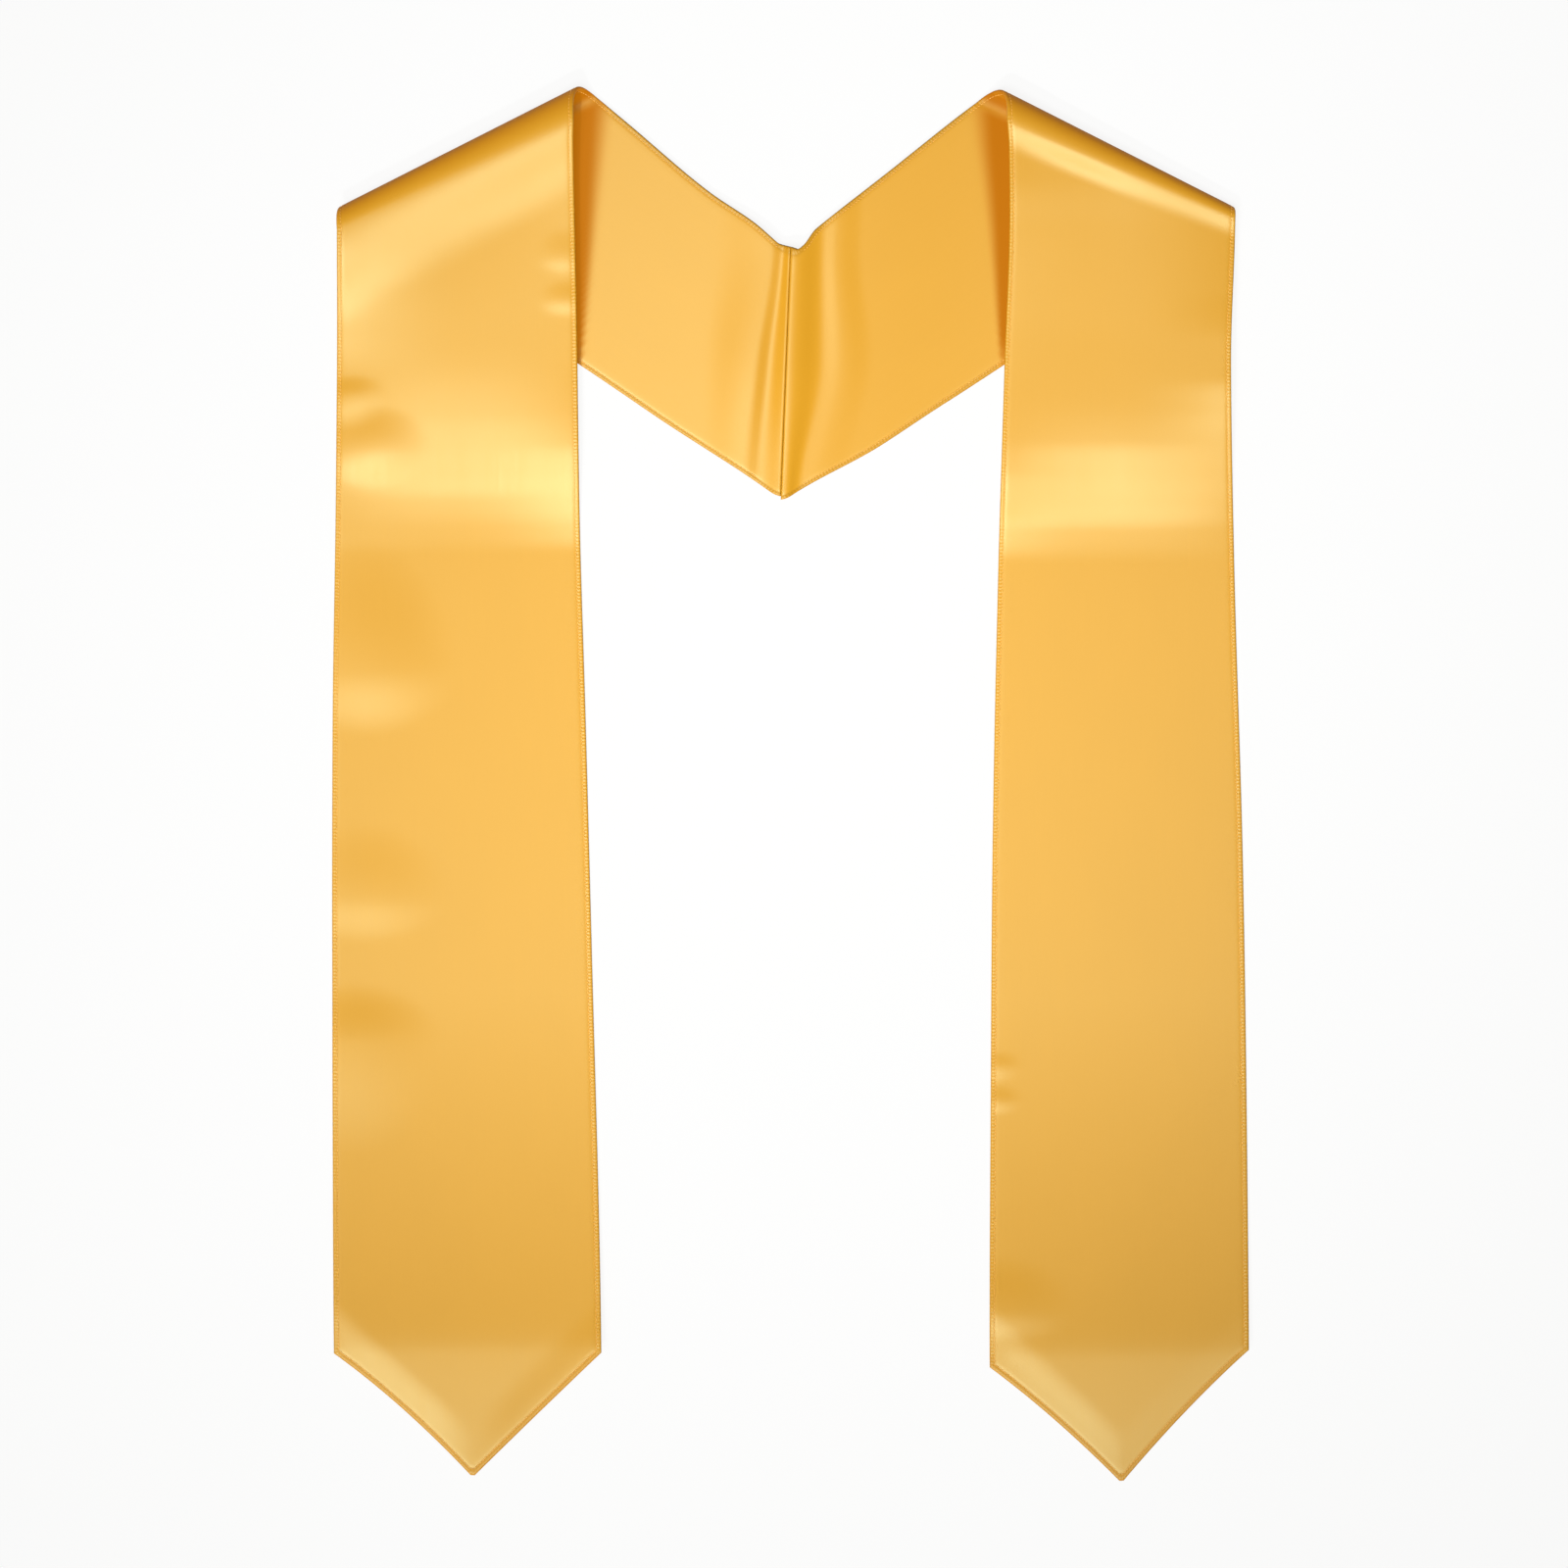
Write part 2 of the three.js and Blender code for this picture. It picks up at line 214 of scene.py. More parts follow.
# Soft swellings of each front panel: the middle, the turn of the long axis above +X, the half length, the
# half widths above and below the long axis, and the rise at the middle
FRONT_SWELLS = {
    "left": (
        {"at": (-0.234, 0.2055), "turn": 6, "long": 0.022, "above": 0.012, "below": 0.018, "rise": 0.0006},
        {"at": (-0.220, 0.176), "turn": 6, "long": 0.031, "above": 0.026, "below": 0.020, "rise": 0.0013},
        {"at": (-0.120, 0.279), "turn": 0, "long": 0.016, "above": 0.016, "below": 0.009, "rise": 0.0004},
        {"at": (-0.119, 0.256), "turn": 0, "long": 0.016, "above": 0.012, "below": 0.008, "rise": 0.00045},
        {"at": (-0.222, 0.060), "turn": 4, "long": 0.046, "above": 0.070, "below": 0.034, "rise": 0.0013},
        {"at": (-0.225, -0.060), "turn": 0, "long": 0.044, "above": 0.040, "below": 0.024, "rise": 0.0007},
        {"at": (-0.232, -0.137), "turn": 0, "long": 0.048, "above": 0.032, "below": 0.060, "rise": 0.0012},
    ),
    "right": (
        {"at": (0.110, -0.150), "turn": 0, "long": 0.014, "above": 0.008, "below": 0.008, "rise": 0.0003},
        {"at": (0.110, -0.168), "turn": 0, "long": 0.014, "above": 0.008, "below": 0.008, "rise": 0.0003},
        {"at": (0.112, -0.280), "turn": 0, "long": 0.040, "above": 0.030, "below": 0.016, "rise": 0.0007},
    ),
}


def table_value(table, column, along):
    """A smooth curve through a table's rows that swings past none of them and is level past both ends."""
    places = np.array(table["along"], float)
    values = np.array(table[column], float)
    runs = np.diff(places)
    steepness = np.diff(values) / runs
    slopes = np.zeros(len(places))
    before, after = steepness[:-1], steepness[1:]
    same_way = before * after > 0
    total = np.where(same_way, before + after, 1)
    slopes[1:-1] = np.where(same_way, 2 * before * after / total, 0)
    along = np.clip(along, places[0], places[-1])
    low = np.clip(np.searchsorted(places, along, side="right") - 1, 0, len(places) - 2)
    share = (along - places[low]) / runs[low]
    ease = share * share * (3 - 2 * share)
    low_pull = share * (1 - share) ** 2 * runs[low] * slopes[low]
    high_pull = share * share * (share - 1) * runs[low] * slopes[low + 1]
    return values[low] + (values[low + 1] - values[low]) * ease + low_pull + high_pull


def long_fade(share):
    """From 1 at 0 to 0 from 1 on, steepest at a third of the way and then ever gentler."""
    share = np.clip(share, 0, 1)
    return (1 - share) ** 3 * (1 + 3 * share)


def fade(share):
    """Half a cosine wave, 1 at 0 and 0 from 1 on."""
    return (1 + np.cos(np.pi * np.clip(share, 0, 1))) / 2


def mix(low, high, share):
    return low + (high - low) * share


def quarter_arc(wide, high):
    """About the length of a quarter of an ellipse."""
    return np.pi / 2 * np.hypot(wide, high) * math.sqrt(0.5)


def unit(vectors):
    return vectors / np.linalg.norm(vectors, axis=-1, keepdims=True)


class Half:
    """One half of the stole: its strip and the way from the strip to its place as it lies."""

    def __init__(self, sizes):
        self.__dict__.update(sizes)
        fold = math.radians(FOLD_ANGLE)
        lean = math.radians(self.lean)
        self.down = np.array((-math.sin(lean), -math.cos(lean)))
        self.inward = np.array((-math.cos(lean), math.sin(lean)))
        self.fold_line = np.array((-math.cos(fold), math.sin(fold)))
        self.fold_out = np.array((math.sin(fold), math.cos(fold)))
        self.fold_middle = np.array((SHOULDER_SPAN / 2, self.shift))
        self.fold_reach = self.end_width / 2 / math.cos(fold)
        self.back_length = SHOULDER_SPAN / 2 / math.sin(2 * fold - lean)
        self.corner_length = PANEL_LENGTH + self.hang
        self.point_slant = math.atan(POINT_LENGTH / (self.end_width / 2))

    def strip_width(self, length):
        """Middle line and half width of the strip at a length from the fold."""
        along = length / np.where(length < 0, self.back_length, self.corner_length)
        neck = self.end_width * table_value(self.edges, "neck", along)
        outer = self.end_width * table_value(self.edges, "outer", along)
        return (neck - outer) / 2, (neck + outer) / 2

    def across_at(self, length, share):
        """Distance across the strip of a share of its half width, 1 at the neck edge."""
        middle, reach = self.strip_width(length)
        point_share = np.clip((length - self.corner_length) / POINT_LENGTH, 0, 1)
        return middle + share * reach + self.tip_shift * point_share

    def roll_at(self, length, across):
        """The roll of the shoulder fold where a point of the strip meets it.

        It holds the point's place along the fold line and its distance past that line, the roll's radius,
        how far its back and its crest lie in from the line, the lengths of its lower and upper arc, and how
        far past the crest the front panel still comes down.
        """
        flat = length[..., None] * self.down + across[..., None] * self.inward
        place = flat @ self.fold_line
        share = np.clip((place / self.fold_reach + 1) / 2, 0, 1)
        roll = SimpleNamespace(place=place, past=-(flat @ self.fold_out))
        roll.radius = mix(*self.fold_height, share) / 2
        roll.back_inset = mix(*self.back_inset, share)
        roll.crest_inset = mix(*self.crest_inset, share)
        roll.lower_arc = quarter_arc(roll.back_inset, roll.radius)
        roll.upper_arc = quarter_arc(roll.crest_inset, roll.radius)
        roll.fall_length = mix(*self.fall_length, share)
        return roll

    def panel_lift(self, length, across):
        """Height of a front panel above the level where it would lie on the floor."""
        middle, reach = self.strip_width(length)
        share = np.clip((across - middle) / reach, -1, 1)
        along = length / self.end_width
        outer = table_value(self.lift, "outer", along)
        neck = table_value(self.lift, "neck", along)
        side = np.where(share < 0, outer, neck)
        covered = COVERED_LEVEL * mix(table_value(self.lift, "middle", along), side, share * share)
        past_corners = length - self.corner_length
        end = self.corner_length + POINT_LENGTH * (1 - np.abs(share))
        from_end = (end - length) * math.cos(self.point_slant)
        pillow = mix(*self.end_pillow, 1 - fade((share / END_PILLOW_TURN + 1) / 2))
        pinned = pillow * fade(from_end / END_PILLOW_REACH)
        before = np.clip(-past_corners / END_RUN, 0, 1)
        rounded = np.hypot(before, END_RIDGE) - END_RIDGE
        rise = (1 - rounded / (math.hypot(1, END_RIDGE) - END_RIDGE)) ** 2
        point_rise = mix(TIP_RISE, END_RISE, fade(past_corners / POINT_LENGTH))
        return covered - pinned + np.where(past_corners < 0, END_RISE * rise, point_rise)

    def seam_distance(self, spot):
        """Distance of a spot on the floor outwards from the seam line, which leans about its middle."""
        tilt = math.radians(SEAM_TILT) * self.side
        seam_middle = -SHOULDER_SPAN / 2 / math.tan(2 * math.radians(FOLD_ANGLE))
        return spot[..., 0] * math.cos(tilt) - (spot[..., 1] - seam_middle) * math.sin(tilt)

    def seam_lift(self, spot):
        """Height that the folds beside the seam add to a back panel."""
        rightwards = self.side * self.seam_distance(spot)
        down = np.clip((spot[..., 1] - SEAM_TOP) / (SEAM_FOOT - SEAM_TOP), 0, 1)

        def down_seam(values):
            return table_value({"along": SEAM_DOWN, "value": values}, "value", down)

        lift = np.zeros(rightwards.shape)
        for left, right in zip(SEAM_FOLDS, SEAM_FOLDS[1:]):
            near = down_seam(left["place"])
            far = down_seam(right["place"])
            share = (rightwards - near) / (far - near)
            between = (share >= 0) & (share < 1)
            height = mix(down_seam(right["height"]), down_seam(left["height"]), fade(share))
            lift = np.where(between, height, lift)
        return lift + SEAM_TENT_RISE * fade(np.abs(rightwards) / SEAM_TENT_REACH)

    def seam_corner(self, spot, shares):
        """How far the seam's foot and the dip at its top are drawn towards the neck."""
        away = self.seam_distance(spot)
        foot = SEAM_FOOT_DRAW * np.clip(1 - away / SEAM_FOOT_REACH, 0, 1) ** 2
        dip = self.dip_draw * np.clip(1 - away / self.dip_reach, 0, 1)
        outwards = np.clip((np.abs(shares) - SEAM_DRAW_START) / (1 - SEAM_DRAW_START), 0, 1)
        return np.where(shares < 0, foot, dip) * outwards ** 2

    def placed(self, spot):
        """A spot of the strip's frame in the frame of the part."""
        return np.stack([self.side * spot[..., 0], spot[..., 1]], axis=-1) + np.array(STRIP_ORIGIN)

    def band_point(self, length, across):
        """The middle of the band's thickness, in the strip's frame."""
        roll = self.roll_at(length, across)
        past = roll.past
        turn = np.pi / 2 * np.clip(past / np.where(past < 0, roll.lower_arc, roll.upper_arc), -1, 1)
        on_back = past < -roll.lower_arc
        on_front = past >= roll.upper_arc
        rolled = np.where(past < 0, roll.back_inset, roll.crest_inset) * (1 - np.cos(turn))
        behind = roll.back_inset - roll.lower_arc - past
        before = roll.crest_inset - roll.upper_arc + past
        depth = np.where(on_back | on_front, np.where(past < 0, behind, before), rolled)
        spot = self.fold_middle + roll.place[..., None] * self.fold_line - depth[..., None] * self.fold_out
        low = self.seam_lift(spot)
        level = self.panel_lift(length, across)
        fallen = (past - roll.upper_arc) / roll.fall_length
        high = level + (2 * roll.radius - level) * long_fade(fallen)
        high = high + self.swell(self.placed(spot)) * (1 - fade(fallen))
        height = np.where(on_back, low, np.where(on_front, high, roll.radius * (1 + np.sin(turn))))
        height = np.maximum(height, 0)
        return np.concatenate([spot, REST_HEIGHT + height[..., None]], axis=-1)

    def swell(self, spot):
        """Height that the soft swellings add to the front panel."""
        lift = np.zeros(spot.shape[:-1])
        for swell in FRONT_SWELLS[self.name]:
            turn = math.radians(swell["turn"])
            from_middle = spot - np.array(swell["at"])
            along = from_middle @ np.array((math.cos(turn), math.sin(turn)))
            aside = from_middle @ np.array((-math.sin(turn), math.cos(turn)))
            wide = np.where(aside < 0, swell["below"], swell["above"])
            lift += swell["rise"] * fade(np.hypot(along / swell["long"], aside / wide))
        return lift

    def length_where(self, shares, target, measure):
        """The length in each column at which a measure that grows with the length reaches a target."""
        low = np.full(shares.shape, -2 * self.back_length)
        high = np.full(shares.shape, PANEL_LENGTH)
        for _ in range(SEARCH_HALVINGS):
            length = (low + high) / 2
            reached = measure(length, self.across_at(length, shares)) >= target
            high = np.where(reached, length, high)
            low = np.where(reached, low, length)
        return high

    def columns(self):
        """Shares of the half width of the mesh's columns, crowded into the pressed border."""
        border = 1 - np.array(EDGE_STEPS) / (self.end_width / 2)
        count = round((self.end_width - 2 * EDGE_STEPS[-1]) / COLUMN_WIDTH)
        inner = np.linspace(-border[-1], border[-1], count + 1)[1:-1]
        return np.concatenate([-border, inner, border[::-1]])

    def grid(self):
        """Lengths and shares of every point of the mesh, by row and column."""
        shares = self.columns()

        def from_seam(length, across):
            return self.seam_distance(self.band_point(length, across)[..., :2])

        def round_lower(length, across):
            roll = self.roll_at(length, across)
            return roll.past / roll.lower_arc

        def past_crest(length, across):
            roll = self.roll_at(length, across)
            return (roll.past - roll.upper_arc) / roll.fall_length

        seam = self.length_where(shares, SEAM_CLEARANCE, from_seam)
        point_share = 1 - np.abs(shares)
        inset = np.where(shares < 0, *self.point_inset) * 4 * point_share * (1 - point_share)
        end = self.corner_length + self.corner_skew * shares + POINT_LENGTH * point_share - inset
        starts = {
            "back": seam + SEAM_STEPS[-1],
            "lower": self.length_where(shares, -1, round_lower),
            "upper": self.length_where(shares, 0, round_lower),
            "fall": self.length_where(shares, 0, past_crest),
            "fan": self.length_where(shares, 1, past_crest),
            "landing": np.full(shares.shape, self.end_width),
            "panel": np.full(shares.shape, self.lift["along"][-1] * self.end_width),
            "end": np.full(shares.shape, self.corner_length - self.end_width),
            "border": end - EDGE_STEPS[-1] / math.cos(self.point_slant),
        }
        rows = [seam + step for step in SEAM_STEPS[:-1]]
        names = list(starts)
        for name, following in zip(names, names[1:]):
            count = STRETCH_ROWS[name]
            rows += [mix(starts[name], starts[following], row / count) for row in range(count)]
        rows += [end - step / math.cos(self.point_slant) for step in reversed(EDGE_STEPS)]
        lengths = np.array(rows)
        return lengths, np.broadcast_to(shares, lengths.shape), end

    def half_thickness(self, edge, seam):
        """Half thickness of the band by its distance from the edge and from the seam."""
        body = table_value(BORDER_PROFILE, "half", edge)
        rounded = np.sqrt(np.clip(1 - (1 - np.clip(edge / EDGE_ROUND, 0, 1)) ** 2, 0, 1))
        into_seam = np.sqrt(np.clip(1 - (1 - np.clip(seam / SEAM_ROUND, 0, 1)) ** 2, 0, 1))
        return np.maximum(body * rounded * mix(SEAM_GROOVE_SHARE, 1, into_seam), THINNEST_HALF)


def grid_normals(points):
    """Unit normals of a grid of points, towards the lining's side."""
    lengthwise = np.gradient(points, axis=0)
    crosswise = np.gradient(points, axis=1)
    return unit(np.cross(lengthwise, crosswise))


def smooth_piece(name, points, faces):
    """A new object in the scene, shaded smooth."""
    mesh = bpy.data.meshes.new(name)
    mesh.from_pydata(points.reshape(-1, 3).tolist(), [], faces)
    mesh.polygons.foreach_set("use_smooth", np.ones(len(faces), bool))
    mesh.update()
    piece = bpy.data.objects.new(name, mesh)
    bpy.context.scene.collection.objects.link(piece)
    return piece


def closed_sheet(name, low, high, maps, flip):
    """A closed mesh between two grids of points, with its faces out and its UV maps."""
    rows, columns = low.shape[:2]
    count = rows * columns
    place = np.arange(count).reshape(rows, columns)
    first = place[:-1, :-1]
    next_row = place[1:, :-1]
    opposite = place[1:, 1:]
    next_column = place[:-1, 1:]
    upper = np.stack([first, next_row, opposite, next_column], axis=-1).reshape(-1, 4) + count
    lower = np.stack([first, next_column, opposite, next_row], axis=-1).reshape(-1, 4)
    ring = np.concatenate([place[:-1, 0], place[-1, :-1], place[:0:-1, -1], place[0, :0:-1]])
    after = np.roll(ring, -1)
    rim = np.stack([ring, after, after + count, ring + count], axis=-1)
    faces = np.concatenate([upper, lower, rim])
    if flip:
        faces = faces[:, ::-1]
    points = np.concatenate([low.reshape(-1, 3), high.reshape(-1, 3)])
    piece = smooth_piece(name, points, faces.tolist())
    corners = faces.ravel() % count
    for map_name, values in maps.items():
        layer = piece.data.uv_layers.new(name=map_name)
        layer.data.foreach_set("uv", values.reshape(-1, 2)[corners].astype(np.float32).ravel())
    return piece


# Stitches along the border: their pitch and size, how high they stand on the cloth, and the shape of one by
# its rings, which lie at shares of its half length
STITCH_PITCH = 0.0018
STITCH_LENGTH = 0.0014
THREAD_THICKNESS = 0.00030
STITCH_LIFT = THREAD_THICKNESS * 0.25
STITCH_SIDES = 6
STITCH_RINGS = np.array((-1, -0.8, 0, 0.8, 1))
STITCH_BOW = (1 - STITCH_RINGS ** 2) * THREAD_THICKNESS * 0.3
STITCH_REACH = np.sqrt(1 - np.abs(STITCH_RINGS) ** 4) * THREAD_THICKNESS / 2 + THREAD_THICKNESS * 0.05


def stitch_row(name, centres, along, outward):
    """One mesh of small rounded stitches, each lying along its direction on the surface."""
    aside = np.cross(along, outward)[:, None, :]
    outward = outward[:, None, :]
    turn = 2 * np.pi * np.arange(STITCH_SIDES)[:, None] / STITCH_SIDES
    ring = np.cos(turn) * aside + np.sin(turn) * outward
    line = centres[:, None, :] + along[:, None, :] * (STITCH_RINGS * STITCH_LENGTH / 2)[:, None]
    line = line + outward * STITCH_BOW[:, None]
    points = line[:, :, None, :] + ring[:, None, :, :] * STITCH_REACH[:, None, None]
    rings = len(STITCH_RINGS)
    one = np.arange(rings * STITCH_SIDES).reshape(rings, STITCH_SIDES)
    beside = np.roll(one, -1, axis=1)
    sides = np.stack([one[:-1], beside[:-1], beside[1:], one[1:]], axis=-1).reshape(-1, 4)
    caps = np.stack([one[0, ::-1], one[-1]])
    step = (np.arange(len(centres)) * one.size)[:, None, None]
    faces = (sides + step).reshape(-1, 4).tolist()
    faces += (caps + step).reshape(-1, STITCH_SIDES).tolist()
    return smooth_piece(name, points, faces)


def evenly_spaced(path, outward, pitch):
    """Places, directions and surface normals at an even pitch along a line of points."""
    steps = np.linalg.norm(np.diff(path, axis=0), axis=1)
    run = np.concatenate([[0], np.cumsum(steps)])
    marks = np.arange(pitch, run[-1] - pitch, pitch)

    def values_at(spots, values):
        return np.stack([np.interp(spots, run, values[:, axis]) for axis in range(3)], axis=-1)

    places = values_at(marks, path)
    along = unit(values_at(marks + pitch / 4, path) - places)
    normals = values_at(marks, outward)
    normals -= np.sum(normals * along, axis=-1, keepdims=True) * along
    return places, along, unit(normals)


class Nodes:
    """Short calls for a material's shader nodes."""

    def __init__(self, material):
        material.use_nodes = True
        self.tree = material.node_tree
        self.shader = self.tree.nodes["Principled BSDF"]

    def add(self, kind, **settings):
        node = self.tree.nodes.new(kind)
        for name, value in settings.items():
            setattr(node, name, value)
        return node

    def link(self, source, target):
        self.tree.links.new(source, target)

    def number(self, operation, first, second=None):
        node = self.add("ShaderNodeMath", operation=operation)
        for socket, value in zip(node.inputs, (first, second)):
            if value is None:
                continue
            if isinstance(value, (int, float)):
                socket.default_value = value
            else:
                self.link(value, socket)
        return node.outputs[0]

    def noise(self, vector, scale, detail):
        node = self.add("ShaderNodeTexNoise")
        node.inputs["Scale"].default_value = scale
        node.inputs["Detail"].default_value = detail
        self.link(vector, node.inputs["Vector"])
        return node.outputs["Fac"]

    def scaled(self, vector, scale):
        node = self.add("ShaderNodeMapping")
        node.inputs["Scale"].default_value = scale
        self.link(vector, node.inputs["Vector"])
        return node.outputs["Vector"]

    def parts(self, vector):
        node = self.add("ShaderNodeSeparateXYZ")
        self.link(vector, node.inputs[0])
        return node.outputs

    def spread(self, value, low, high):
        node = self.add("ShaderNodeMapRange")
        node.inputs["To Min"].default_value = low
        node.inputs["To Max"].default_value = high
        self.link(value, node.inputs["Value"])
        return node.outputs["Result"]

    def blend(self, first, second, factor):
        """A colour between a first one, fixed or from a node, and a second one that is fixed."""
        node = self.add("ShaderNodeMix", data_type="RGBA")
        if isinstance(first, tuple):
            node.inputs["A"].default_value = (*first, 1)
        else:
            self.link(first, node.inputs["A"])
        node.inputs["B"].default_value = (*second, 1)
        self.link(factor, node.inputs["Factor"])
        return node.outputs["Result"]

    def bump(self, height, strength, normal=None):
        node = self.add("ShaderNodeBump")
        node.inputs["Strength"].default_value = strength
        node.inputs["Distance"].default_value = BUMP_DISTANCE
        self.link(height, node.inputs["Height"])
        if normal is not None:
            self.link(normal, node.inputs["Normal"])
        return node.outputs["Normal"]


# The satin's deeper and fuller shade, the painted shade that the outer satin deepens to on the folds, and
# the painted shade that the lining deepens to inside the shoulder loops, where light has met gold satin
# before.
# Both also colour a painted glow there, and the pressed border deepens to them.
SATIN_DEEP = (0.43, 0.200, 0.006)
SATIN_FULL = (0.51, 0.238, 0.011)
PAINTED_FOLD_SHADE_AND_BORDER = (0.35, 0.112, 0.002)
PAINTED_LOOP_SHADE_AND_BORDER = (0.10, 0.031, 0.0005)

# Fineness of the satin's floats and slubs, its patches of shade and its grain, as cells of noise in a metre
# across and along the band
FLOAT_SCALE = (3600, 420, 1)
SLUB_SCALE = (900, 26, 1)
PATCH_SCALE = (28, 14, 1)
GRAIN_SCALE = (1500, 1500, 1)

# How far the floats, slubs and patches move the shade between the deeper and the fuller one
FLOAT_SHADE = (0.38, 0.62)
SLUB_SHADE = 0.08
PATCH_SHADE = 0.12

# The satin's roughness and how far the grain and the slubs vary it, how much duller the cloth is where the
# painted shade or the pressed border is deepest, its gloss there, and the tint and direction of its gloss
ROUGHNESS = 0.42
GRAIN_ROUGHNESS = 0.05
SLUB_ROUGHNESS = 0.03
DEEP_DULLNESS = 0.2
DEEP_GLOSS = 0.04
GLOSS_TINT = (0.72, 1.0, 0.69)
ANISOTROPY = 0.45
FIBRE_IOR = 1.6

# The pressed border: its width and the softness of its inner edge, how far its colour deepens at the pointed
# ends, and the reach of the small dents that the stitches press into it
BORDER_WIDTH = 0.0030
BORDER_SOFTNESS = 0.0008
POINT_BORDER_DEPTH = 0.2
DENT_REACH = 0.0024

# Bump of the weave and of the stitches' dents
BUMP_DISTANCE = 0.0001
WEAVE_BUMP = 0.12
GRAIN_BUMP = 0.8
DENT_BUMP = 0.25


def satin_material(name, painted_shade_and_border_colour, gloss, glow, border_depth):
    """Gold satin: long floats along the band, a fine weave, soft shade differences and a pressed border.

    Where the mesh's attribute of painted shade is high, shade is painted into the colour and the cloth glows
    in that colour as a painted glow, which stands for the light that facing gold satin passes on.
    """
    material = bpy.data.materials.new(name)
    nodes = Nodes(material)
    shader = nodes.shader
    cloth = nodes.add("ShaderNodeUVMap", uv_map="cloth").outputs["UV"]
    border = nodes.add("ShaderNodeUVMap", uv_map="border").outputs["UV"]
    from_edge, along_edge = nodes.parts(border)["X"], nodes.parts(border)["Y"]

    floats = nodes.noise(nodes.scaled(cloth, FLOAT_SCALE), 1, 2)
    slubs = nodes.noise(nodes.scaled(cloth, SLUB_SCALE), 1, 2)
    patches = nodes.noise(nodes.scaled(cloth, PATCH_SCALE), 1, 3)
    grain = nodes.noise(nodes.scaled(cloth, GRAIN_SCALE), 1, 1)

    shade = nodes.spread(patches, -PATCH_SHADE, PATCH_SHADE)
    shade = nodes.number("ADD", shade, nodes.spread(floats, *FLOAT_SHADE))
    shade = nodes.number("ADD", shade, nodes.spread(slubs, -SLUB_SHADE, SLUB_SHADE))
    colour = nodes.blend(SATIN_DEEP, SATIN_FULL, shade)
    # The mask of painted shade and painted glow on the shoulder loops and folds
    painted_shade_and_glow = nodes.add("ShaderNodeAttribute", attribute_name="painted_shade_and_glow").outputs["Fac"]
    nodes.link(nodes.number("MULTIPLY", painted_shade_and_glow, glow), shader.inputs["Emission Strength"])
    shader.inputs["Emission Color"].default_value = (*painted_shade_and_border_colour, 1)
    pressed = nodes.add("ShaderNodeMapRange", interpolation_type="SMOOTHSTEP")
    pressed.inputs["From Min"].default_value = BORDER_WIDTH + BORDER_SOFTNESS
    pressed.inputs["From Max"].default_value = BORDER_WIDTH - BORDER_SOFTNESS
    at_point = nodes.number("GREATER_THAN", nodes.parts(cloth)["Y"], PANEL_LENGTH)
    nodes.link(nodes.spread(at_point, border_depth, POINT_BORDER_DEPTH), pressed.inputs["To Max"])
    nodes.link(from_edge, pressed.inputs["Value"])
    painted_shade_and_border = nodes.number("MAXIMUM", painted_shade_and_glow, pressed.outputs["Result"])
    nodes.link(nodes.blend(colour, painted_shade_and_border_colour, painted_shade_and_border), shader.inputs["Base Color"])

    rough = nodes.spread(grain, ROUGHNESS - GRAIN_ROUGHNESS, ROUGHNESS + GRAIN_ROUGHNESS)
    rough = nodes.number("ADD", rough, nodes.spread(slubs, -SLUB_ROUGHNESS, SLUB_ROUGHNESS))
    rough = nodes.number("ADD", rough, nodes.number("MULTIPLY", painted_shade_and_border, DEEP_DULLNESS))
    nodes.link(rough, shader.inputs["Roughness"])
    shader.inputs["IOR"].default_value = FIBRE_IOR
    nodes.link(nodes.spread(painted_shade_and_border, gloss, DEEP_GLOSS), shader.inputs["Specular IOR Level"])
    shader.inputs["Specular Tint"].default_value = (*GLOSS_TINT, 1)
    shader.inputs["Anisotropic"].default_value = ANISOTROPY
    tangent = nodes.add("ShaderNodeTangent", direction_type="UV_MAP", uv_map="cloth")
    nodes.link(tangent.outputs["Tangent"], shader.inputs["Tangent"])

    dents = nodes.number("SINE", nodes.number("MULTIPLY", along_edge, 2 * math.pi / STITCH_PITCH))
    dents = nodes.number("MULTIPLY", dents, nodes.number("LESS_THAN", from_edge, DENT_REACH))
    weave = nodes.number("ADD", floats, nodes.number("MULTIPLY", grain, GRAIN_BUMP))
    normal = nodes.bump(dents, DENT_BUMP, nodes.bump(weave, WEAVE_BUMP))
    nodes.link(normal, shader.inputs["Normal"])
    return material


# The sewing thread's shades, the fineness of its plies and the roughness in and on them
THREAD_DEEP = (0.60, 0.28, 0.035)
THREAD_FULL = (0.86, 0.46, 0.09)
PLY_SCALE = 4200
PLY_ROUGHNESS = (0.4, 0.6)


def thread_material():
    """Polyester sewing thread in the satin's colour, whose plies vary its shade and roughness."""
    material = bpy.data.materials.new("thread")
    nodes = Nodes(material)
    place = nodes.add("ShaderNodeTexCoord").outputs["Object"]
    plies = nodes.noise(place, PLY_SCALE, 1)
    nodes.link(nodes.blend(THREAD_DEEP, THREAD_FULL, plies), nodes.shader.inputs["Base Color"])
    nodes.link(nodes.spread(plies, *PLY_ROUGHNESS), nodes.shader.inputs["Roughness"])
    return material


# The strip of painted shade on the back panel beside the front panel's neck edge, where that panel's shadow
# falls: its width at a Y of the part's frame, how fast it widens upwards, its least width, and the shares of
# it that are fully deep and that fade
LOOP_STRIP_FOOT = 0.236
LOOP_STRIP_WIDTH = 0.0036
LOOP_STRIP_SPREAD = 0.108
LOOP_STRIP_LEAST = 0.0005
LOOP_STRIP_DEEP = 0.5
LOOP_STRIP_FADE = 0.9

# The crease inside a loop, where the strip begins to roll up and its painted shade is paler: how much paler
# it is, and its middle and reach as shares of the roll's lower arc
CREASE_PALENESS = 0.4
CREASE_MIDDLE = 0.95
CREASE_REACH = 0.3

# The share of the lower arc below the fold line at which the painted shade of the fold starts, and how deep
# that painted shade is
FOLD_START = 0.4
FOLD_DEPTH = 0.85


